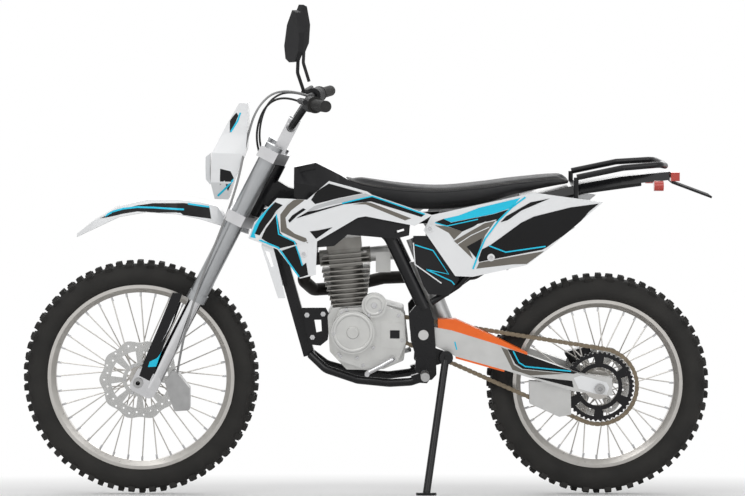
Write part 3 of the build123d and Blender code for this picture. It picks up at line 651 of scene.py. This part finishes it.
def cut_plate(name, centre, y, thickness, outer, holes, finish, body):
    """A flat plate with holes, standing on edge in the wheel. Its outlines are from its centre."""
    loops = [outer] + holes
    flat = [[Vector((a, b, 0)) for a, b in loop] for loop in loops]
    every = [point for loop in loops for point in loop]
    count = len(every)
    points = [(centre[0] + a, y + thickness / 2, centre[2] + b) for a, b in every]
    points += [(centre[0] + a, y - thickness / 2, centre[2] + b) for a, b in every]
    faces = []
    for triangle in tessellate_polygon(flat):
        faces.append(list(triangle))
        faces.append([i + count for i in reversed(triangle)])
    start = 0
    for loop in loops:
        for k in range(len(loop)):
            n = (k + 1) % len(loop)
            faces.append([start + k, start + n, start + n + count, start + k + count])
        start += len(loop)
    return make_piece(name, points, faces, finish, body)


def round_hole(radius, angle, size, sides=10):
    """A round hole at a radius and angle from the plate's centre."""
    x, z = polar(radius, angle)
    rim = [polar(size, 2 * math.pi * k / sides) for k in range(sides)]
    return [(x + a, z + b) for a, b in rim]


def window(inner, outer, middle, spread, steps=5):
    """A window between two radii, curved with the plate."""
    angles = [middle - spread + 2 * spread * k / steps for k in range(steps + 1)]
    return [polar(outer, a) for a in angles] + [polar(inner, a) for a in reversed(angles)]


cut_steel = surface("cut_steel", (0.46, 0.46, 0.45), (0.62, 0.62, 0.61), 50, (0.20, 0.34), 0.15, metal=0.95)
for which, y, radius, bore, waves, arms in (("front", 62, 120, 40, 10, 8), ("rear", -56, 110, 44, 9, 6)):
    edge, edge_steps, wave = [], 180, 4
    for k in range(edge_steps):
        angle = 2 * math.pi * k / edge_steps
        edge.append(polar(radius - wave + wave * math.cos(waves * angle), angle))
    cuts = [round_hole(0, 0, bore, 48)]
    for k in range(arms):
        cuts.append(window(bore + 11, radius - 34, 2 * math.pi * (k + 0.5) / arms, math.pi / arms * 0.66))
    for k in range(waves * 3):
        cuts.append(round_hole(radius - 14 - 8 * (k % 2), 2 * math.pi * k / (waves * 3), 3.2, 8))
    disc = cut_plate(which + "_brake_disc", wheels[which][0], y, 4, edge, cuts, cut_steel, which + "_wheel")
    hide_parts(which + "_disc")
    middle, out_side = wheels[which][0], math.copysign(1, y)
    bolt_places = [polar(bore + 5, 2 * math.pi * k / 6) for k in range(6)]
    bolts = [((middle[0] + a, y + 2 * out_side, middle[2] + b), (0, out_side, 0)) for a, b in bolt_places]
    screws(which + "_disc_bolts", bolts, 4.5, 3.5, 6, plated_steel, which + "_wheel")

chain_pitch, rear_teeth, tip_inset = 15.875, 45, 8.5
tooth_radius = chain_pitch / (2 * math.sin(math.pi / rear_teeth)) - tip_inset
teeth = []
for k in range(rear_teeth * 4):
    angle, tip = 2 * math.pi * k / (rear_teeth * 4), k % 4 in (1, 2)
    reach = tooth_radius if tip else tooth_radius - 5
    teeth.append(polar(reach, angle))
carrier_radius, window_foot, window_margin, window_spread, window_count = 58, 70, 15, 0.36, 6
sprocket_cuts = [round_hole(0, 0, carrier_radius, 48)]
for k in range(window_count):
    middle = 2 * math.pi / window_count * k
    sprocket_cuts.append(window(window_foot, tooth_radius - window_margin, middle, window_spread))
sprocket = cut_plate("rear_sprocket_plate", (0, 0, 334), 65, 6, teeth, sprocket_cuts, frame_black, "rear_wheel")
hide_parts("rear_sprocket")

# The chain is oiled steel: pairs of waisted plates on pins, with rollers
# between them, running from the small sprocket to the rear one and back.
chain_low, chain_high = Vector((1e9,) * 3), Vector((-1e9,) * 3)
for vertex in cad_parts["chain"].data.vertices:
    spot = upright @ vertex.co * 1000
    chain_low = Vector(map(min, chain_low, spot))
    chain_high = Vector(map(max, chain_high, spot))
half_plate, rear_axle_height = 7.5, 334.0
rear_circle = (0.0, rear_axle_height, -chain_low.x - half_plate)
front_circle = (598.0, 512.0, chain_high.x - 598 - half_plate)
apart = math.hypot(front_circle[0], front_circle[1] - rear_axle_height)
slope = math.atan2(front_circle[1] - rear_axle_height, front_circle[0])
open_angle = math.acos((rear_circle[2] - front_circle[2]) / apart)
upper, lower = slope + open_angle, slope - open_angle


def on_circle(circle, angle):
    """A place in x and z on a circle of middle and radius."""
    return Vector((circle[0] + circle[2] * math.cos(angle), circle[1] + circle[2] * math.sin(angle)))


chain_runs = [("arc", rear_circle, upper, lower + 2 * math.pi), ("run", on_circle(rear_circle, lower),
              on_circle(front_circle, lower)), ("arc", front_circle, lower, upper),
              ("run", on_circle(front_circle, upper), on_circle(rear_circle, upper))]
chain_path = []
for kind, *part in chain_runs:
    if kind == "arc":
        circle, start, end = part
        chain_path += [on_circle(circle, start + (end - start) * k / 90) for k in range(90)]
    else:
        start, end = part
        chain_path += [start.lerp(end, k / 120) for k in range(120)]
lengths = [(chain_path[(k + 1) % len(chain_path)] - chain_path[k]).length for k in range(len(chain_path))]
link_count = round(sum(lengths) / chain_pitch / 2) * 2
pins, travelled, at = [], 0.0, 0
for k in range(link_count):
    wanted = sum(lengths) * k / link_count
    while travelled + lengths[at] < wanted:
        travelled += lengths[at]
        at += 1
    pins.append(chain_path[at].lerp(chain_path[(at + 1) % len(chain_path)], (wanted - travelled) / lengths[at]))
chain_middle = (chain_low.y + chain_high.y) / 2
plates, rollers = [], []
for k in range(link_count):
    a, b = pins[k], pins[(k + 1) % link_count]
    way = Vector((b.x - a.x, 0, b.y - a.y)).normalized()
    flank = Vector((0, 1, 0))
    gap = 4.4 if k % 2 else 3.0
    for side in (-1, 1):
        foot = Vector(((a.x + b.x) / 2, chain_middle + side * gap, (a.y + b.y) / 2))
        facing = flank * side
        plates.append((tuple(foot), (way, facing.cross(way), facing), ((b - a).length + 9, 12.5, 1.3)))
    rollers.append(((a.x, chain_middle - 2.9, a.y), (way, flank.cross(way), flank), (9, 9, 5.8)))
chain_piece = blocks("chain_plates", plates, 10, oiled_steel, "chassis")
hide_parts("chain")
blocks("chain_rollers", rollers, 8, oiled_steel, "chassis")

# A pale blade hangs below each shroud and guides air to the engine. Behind
# the left shroud is a dark grained leaf, and below the left side panel a
# black cover. All are moulded plates, clipped to the panel's inner face.
inside_shroud, inside_panel, plate_thickness = 147.7, 115.6, 4.4
blade = [(996, 780), (998, 762), (950, 610), (929, 610), (946, 692), (966, 770)]
blade_slot = [(988, 750), (974, 746), (962, 704), (970, 702)]
for side, ending in ((1, "left"), (-1, "right")):
    piece = cut_plate("shroud_blade_" + ending, (0, 0, 0), side * inside_shroud, plate_thickness, blade, [blade_slot],
                      gloss_white, "chassis")
leaf = [(850, 800), (773, 836), (712, 861), (592, 838), (563, 830), (566, 795), (606, 785), (693, 793), (746, 797),
        (785, 764), (850, 758)]
cut_plate("leaf_cover_left", (0, 0, 0), inside_shroud, plate_thickness, leaf,
          [[(606, 801), (580, 809), (582, 815), (608, 807)]], grained_black, "chassis")
lower_cover = [(553, 790), (557, 759), (545, 699), (522, 640), (508, 618), (450, 612), (418, 662), (470, 790)]
cut_plate("side_cover_left", (0, 0, 0), inside_panel, plate_thickness, lower_cover, [], grained_black, "chassis")
for number, path in enumerate(([(549, 764), (495, 747), (449, 677), (515, 691)], [(515, 691), (440, 656), (432, 646)],
                               [(553, 770), (548, 706), (470, 650)])):
    outline = line(path, 3.5)
    count = len(outline)
    points = [(x, 118.4, z) for x, z in outline] + [(x, 117.9, z) for x, z in outline]
    rings = [[k, k + 1, count - 2 - k, count - 1 - k] for k in range(count // 2 - 1)]
    rings += [[i + count for i in reversed(ring)] for ring in rings]
    rings += [[k, (k + 1) % count, (k + 1) % count + count, k + count] for k in range(count)]
    make_piece("side_cover_line_" + str(number), points, rings, film_white if number == 2 else film_cyan, "chassis")

# The left covers have a raised ring round the generator and a cap in its
# middle, and a smaller cap over the starter's gears.
turned("generator_ring", (731, 116, 503), [(-1, 50), (2.2, 50), (3, 52), (3, 57), (2.2, 59), (-1, 59)], 64, cast_alloy,
       "chassis")
turned("starter_ring", (668, 110, 583), [(-1, 22), (2, 22), (2.6, 24), (2.6, 28), (2, 30), (-1, 30)], 48, cast_alloy,
       "chassis")
screws("generator_cap", [((731, 116, 503), (0, 1, 0))], 19, 4, 32, cast_alloy, "chassis")
screws("starter_cap", [((668, 110, 583), (0, 1, 0))], 9, 4, 24, plated_steel, "chassis")
side_screws = on_face("engine_cover_left", ((787, 500), (764, 560), (650, 568), (596, 552), (586, 478), (608, 420),
                                             (700, 403), (768, 430)), 1)
screws("left_cover_screws", side_screws, 5.5, 5, 12, plated_steel, "chassis")

# The engine hangs from the down tube by a steel plate with three bolts. The
# sprocket cover is a raised cast panel with a dark window in it.
cut_plate("engine_plate_left", (0, 0, 0), 33, 5,
          [(884, 566), (812, 566), (798, 540), (806, 470), (828, 452), (862, 456)],
          [[(846, 530), (826, 530), (824, 496), (840, 492)]], frame_black, "chassis")
screws("engine_plate_bolts", [((868, 35.5, 545), (0, 1, 0)), ((852, 35.5, 478), (0, 1, 0)),
                              ((820, 35.5, 548), (0, 1, 0))], 9, 6, 6, plated_steel, "chassis")
cut_plate("sprocket_cover_panel", (0, 0, 0), 97.2, 3.2, [(648, 534), (590, 530), (580, 520), (580, 462), (592, 452),
                                                       (648, 456)],
          [[(622, 508), (592, 508), (592, 482), (622, 482)]], cast_alloy, "chassis")
cut_plate("sprocket_cover_window", (0, 0, 0), 96.4, 1.2, [(621, 507), (593, 507), (593, 483), (621, 483)], [],
          grained_black, "chassis")

# The rear arm carries film stripes and a white plate round the axle, on
# which the chain adjusters bear.
for side, ending in ((1, "left"), (-1, "right")):
    for colour, lift, finish, outlines in (
            ("warm", 0.10, film_warm, [[(293, 458), (274, 450), (255, 405), (232, 391), (100, 378), (206, 373),
                                        (259, 390)]]),
            ("black", 0.45, film_black, [[(274, 452), (255, 448), (67, 382), (78, 378), (229, 393), (251, 408)],
                                         [(206, 370), (82, 357), (78, 337)]]),
            ("cyan", 0.80, film_cyan, [line([(257, 446), (240, 412), (221, 400), (86, 386)], 4),
                                       line([(430, 474), (424, 450)], 4)]),
            ("white", 1.10, film_white, [[(78, 366), (56, 374), (-20, 352), (-28, 337), (-20, 316), (3, 316),
                                          (63, 334)]])):
        film("swingarm_" + ending + "_film_" + colour, outlines, "swingarm", side, lift, finish, "chassis")

# The clutch cable, the throttle cable and the front brake's hose loop ahead
# of the bar in black and grey rubber, and the hose runs down to the caliper.


def hose_piece(name, points, radius, finish, body):
    """A round hose on one smooth line through the run of some upright points in mm."""
    curve = bpy.data.curves.new(name + "_line", "CURVE")
    curve.dimensions = "3D"
    curve.bevel_depth = radius / 1000
    curve.bevel_resolution = 3
    curve.use_fill_caps = True
    spline = curve.splines.new("NURBS")
    spline.points.add(len(points) - 1)
    for place, point in zip(spline.points, points):
        place.co = (*parked(*point), 1)
    spline.order_u = 3
    spline.use_endpoint_u = True
    spline.resolution_u = 10
    mesh = made_by(added(name + "_maker", curve), finish)
    mesh.polygons.foreach_set("use_smooth", [True] * len(mesh.polygons))
    return placed(name, mesh, body)


cable_black = surface("cable_black", (0.014, 0.014, 0.014), (0.030, 0.030, 0.030), 50, (0.45, 0.60), 0.3)
hose_grey = surface("hose_grey", (0.20, 0.20, 0.20), (0.30, 0.30, 0.30), 50, (0.36, 0.50), 0.3)
hose_piece("clutch_cable", [(868, 190, 1182), (920, 185, 1206), (985, 150, 1180), (1018, 96, 1090), (1000, 60, 1000),
                            (985, 44, 955)], 3.2, cable_black, "steering")
hose_piece("throttle_cable", [(868, -190, 1182), (925, -180, 1204), (992, -130, 1170), (1016, -70, 1080),
                              (998, -46, 1000), (985, -36, 955)], 3.2, cable_black, "steering")
hose_piece("front_brake_hose", [(870, -176, 1186), (945, -120, 1214), (1016, -20, 1166), (1046, 70, 1060),
                                (1068, 132, 940), (1120, 138, 800), (1178, 136, 660), (1222, 132, 520),
                                (1246, 104, 410), (1254, 70, 366)], 3.4, hose_grey, "steering")

# The seat is a foam pad under black grained vinyl, crowned across and
# dipped in the middle, stretched over its base.
seat_stations = [(758, 962, 932, 46), (690, 945, 892, 60), (576, 928, 870, 75), (470, 922, 868, 88),
                 (356, 932, 882, 92), (245, 946, 914, 88), (130, 956, 938, 76), (90, 954, 943, 62)]


def between(a, b, c, d, t):
    """A smooth value between b and c, where a and d come before and after."""
    return 0.5 * (2 * b + (c - a) * t + (2 * a - 5 * b + 4 * c - d) * t * t + (3 * b - a - 3 * c + d) * t ** 3)


seat_rows = []
for i in range(len(seat_stations) - 1):
    four = [seat_stations[max(0, min(len(seat_stations) - 1, i + k))] for k in (-1, 0, 1, 2)]
    for step in range(8):
        seat_rows.append([between(*(s[k] for s in four), step / 8) for k in range(4)])
seat_rows.append(list(seat_stations[-1]))
seat_points, seat_faces, around = [], [], 24
squareness_across, squareness_up = 0.55, 0.6
for x, top, bottom, half in seat_rows:
    for k in range(around):
        angle = 2 * math.pi * k / around
        wide, tall = math.cos(angle), math.sin(angle)
        y = half * math.copysign(abs(wide) ** squareness_across, wide)
        z = (top + bottom) / 2 + (top - bottom) / 2 * math.copysign(abs(tall) ** squareness_up, tall)
        seat_points.append(parked(x, y, z))
rows = len(seat_rows)
for r in range(rows - 1):
    for k in range(around):
        n = (k + 1) % around
        seat_faces.append([r * around + k, r * around + n, (r + 1) * around + n, (r + 1) * around + k])
seat_faces.append(list(range(around))[::-1])
seat_faces.append([(rows - 1) * around + k for k in range(around)])
seat_vinyl = surface("seat_vinyl", (0.012, 0.012, 0.013), (0.026, 0.026, 0.027), 14, (0.48, 0.64), 0.8, grain=1100)
seat_vinyl.node_tree.nodes["Principled BSDF"].inputs["Sheen Weight"].default_value = 0.15
seat_mesh = closed_mesh("seat_cover", seat_points, seat_faces, seat_vinyl, True)
seat_pad = added("seat_cover", seat_mesh)


def fill_out(piece, voxel, cap):
    """Blows a cover out over its foam, by no more than cap, and rounds it off."""
    scene = bpy.context.scene
    trial = added(piece.name + "_trial", piece.data.copy())
    even = trial.modifiers.new("even", "REMESH")
    even.mode = "VOXEL"
    even.voxel_size = voxel
    bpy.context.view_layer.update()
    mesh = bpy.data.meshes.new_from_object(trial.evaluated_get(bpy.context.evaluated_depsgraph_get()))
    trial.modifiers.remove(even)
    trial.data = mesh
    before = [vertex.co.copy() for vertex in mesh.vertices]
    cloth = trial.modifiers.new("cloth", "CLOTH")
    cloth.settings.use_pressure = True
    cloth.settings.uniform_pressure_force = 4
    cloth.settings.effector_weights.gravity = 0
    cloth.point_cache.frame_start, cloth.point_cache.frame_end = 1, 20
    for number in range(1, 21):
        scene.frame_set(number)
    moved = trial.evaluated_get(bpy.context.evaluated_depsgraph_get()).data
    after = [vertex.co.copy() for vertex in moved.vertices]
    scene.frame_set(1)
    trial.modifiers.remove(cloth)
    for vertex, start, end in zip(mesh.vertices, before, after):
        shift = end - start
        if shift.length > cap:
            shift *= cap / shift.length
        vertex.co = start + shift
    mesh.polygons.foreach_set("use_smooth", [True] * len(mesh.polygons))
    bpy.data.objects.remove(trial)
    piece.data = mesh


fill_out(seat_pad, 0.006, 0.006)
if not seat_pad.data.materials:
    seat_pad.data.materials.append(seat_vinyl)
rounding = seat_pad.modifiers.new("rounding", "SUBSURF")
rounding.levels = rounding.render_levels = 1
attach(seat_pad, "chassis")
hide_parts("seat")

# The cover is sewn along both edges of the top panel, with a piped seam and
# a row of even stitches beside it.
bpy.context.view_layer.update()
seat_done = seat_pad.evaluated_get(bpy.context.evaluated_depsgraph_get()).data
seat_skin = BVHTree.FromPolygons([upright @ vertex.co for vertex in seat_done.vertices],
                                 [list(polygon.vertices) for polygon in seat_done.polygons])


def on_seat(x, y, above):
    """A place on the seat's top, some mm above its cover, or None beside it."""
    hit = seat_skin.ray_cast(Vector((x / 1000, y / 1000, 1.2)), Vector((0, 0, -1)))
    return None if hit[0] is None else (x, y, hit[0].z * 1000 + above)


piping_share, stitch_share, stitch_size = 0.84, 0.76, (5, 1.2, 0.8)
for side, ending in ((1, "left"), (-1, "right")):
    seam = [on_seat(x, side * half * piping_share, 0.2) for x, top, bottom, half in seat_rows[3:-3:3]]
    hose_piece("seat_piping_" + ending, [spot for spot in seam if spot], 1.5, seat_vinyl, "chassis")
    stitches = []
    for k in range(3, len(seat_rows) - 4):
        for part in (0.0, 0.5):
            x, top, bottom, half = Vector(seat_rows[k]).lerp(Vector(seat_rows[k + 1]), part)
            y = side * half * stitch_share
            here, ahead = on_seat(x, y, 0), on_seat(x - 4, y, 0)
            if here and ahead:
                way = (Vector(ahead) - Vector(here)).normalized()
                face = way.cross(Vector((0, 1, 0)))
                face = face if face.z > 0 else -face
                stitches.append((here, (way, face.cross(way), face), stitch_size))
    blocks("seat_stitches_" + ending, stitches, 6, film_warm, "chassis")

# The floor is plain and pale and takes the bike's shadow, with soft lamps
# above, in front and behind.


def stage_plane(name, size, place, turn):
    """A square sheet that belongs to the studio and not to the bike."""
    mesh = bpy.data.meshes.new(name)
    half = size / 2
    mesh.from_pydata([(-half, -half, 0), (half, -half, 0), (half, half, 0), (-half, half, 0)], [], [(0, 1, 2, 3)])
    sheet = added(name, mesh)
    sheet.location, sheet.rotation_euler = place, turn
    return sheet


def looked_at(tree):
    """A socket that is one for what the camera sees, straight, in a mirror or through glass."""
    paths = tree.nodes.new("ShaderNodeLightPath")
    found = paths.outputs["Is Camera Ray"]
    for label in ("Is Transmission Ray", "Is Glossy Ray"):
        either = tree.nodes.new("ShaderNodeMath")
        either.operation = "MAXIMUM"
        tree.links.new(found, either.inputs[0])
        tree.links.new(paths.outputs[label], either.inputs[1])
        found = either.outputs[0]
    return found


pale_floor = surface("pale_floor", (0.84, 0.84, 0.84), (0.88, 0.88, 0.88), 1, (0.7, 0.8), 0.02)
floor_tree = pale_floor.node_tree
floor_spot = floor_tree.nodes.new("ShaderNodeTexCoord")
floor_reach = floor_tree.nodes.new("ShaderNodeVectorMath")
floor_reach.operation = "LENGTH"
floor_tree.links.new(floor_spot.outputs["Object"], floor_reach.inputs[0])
floor_fade = floor_tree.nodes.new("ShaderNodeMapRange")
floor_fade.inputs["From Min"].default_value = 1.2
floor_fade.inputs["From Max"].default_value = 2.8
floor_tree.links.new(floor_reach.outputs["Value"], floor_fade.inputs["Value"])
floor_seen = floor_tree.nodes.new("ShaderNodeMath")
floor_seen.operation = "MULTIPLY"
floor_tree.links.new(floor_fade.outputs["Result"], floor_seen.inputs[0])
floor_tree.links.new(looked_at(floor_tree), floor_seen.inputs[1])
floor_white = floor_tree.nodes.new("ShaderNodeEmission")
floor_white.inputs["Color"].default_value = (1, 1, 1, 1)
floor_mix = floor_tree.nodes.new("ShaderNodeMixShader")
floor_tree.links.new(floor_seen.outputs[0], floor_mix.inputs[0])
floor_tree.links.new(floor_tree.nodes["Principled BSDF"].outputs[0], floor_mix.inputs[1])
floor_tree.links.new(floor_white.outputs[0], floor_mix.inputs[2])
floor_tree.links.new(floor_mix.outputs[0], floor_tree.nodes["Material Output"].inputs["Surface"])
floor = stage_plane("floor", 60, (0, 0, -0.001), (0, 0, 0))
floor.data.materials.append(pale_floor)

world = bpy.data.worlds.new("studio")
bpy.context.scene.world = world
world.use_nodes = True
sky = world.node_tree
strength = sky.nodes.new("ShaderNodeMapRange")
strength.inputs["To Min"].default_value = 0.40
strength.inputs["To Max"].default_value = 1.0
sky.links.new(looked_at(sky), strength.inputs["Value"])
sky.nodes["Background"].inputs["Color"].default_value = (1, 1, 1, 1)
sky.links.new(strength.outputs["Result"], sky.nodes["Background"].inputs["Strength"])

for name, place, size, power in (("key", (1.5, 4.0, 3.6), 3.0, 78), ("fill", (-2.5, 3.5, 2.0), 3.0, 40),
                                 ("top", (0, 0, 4.5), 4.0, 48), ("back", (0, -4.0, 3.0), 3.0, 40)):
    lamp = added(name, bpy.data.lights.new(name, "AREA"))
    lamp.data.size = size
    lamp.data.energy = power
    lamp.location = place
    lamp.rotation_mode = "QUATERNION"
    lamp.rotation_quaternion = (Vector(place) - Vector((0, 0, 0.6))).to_track_quat("Z", "Y")
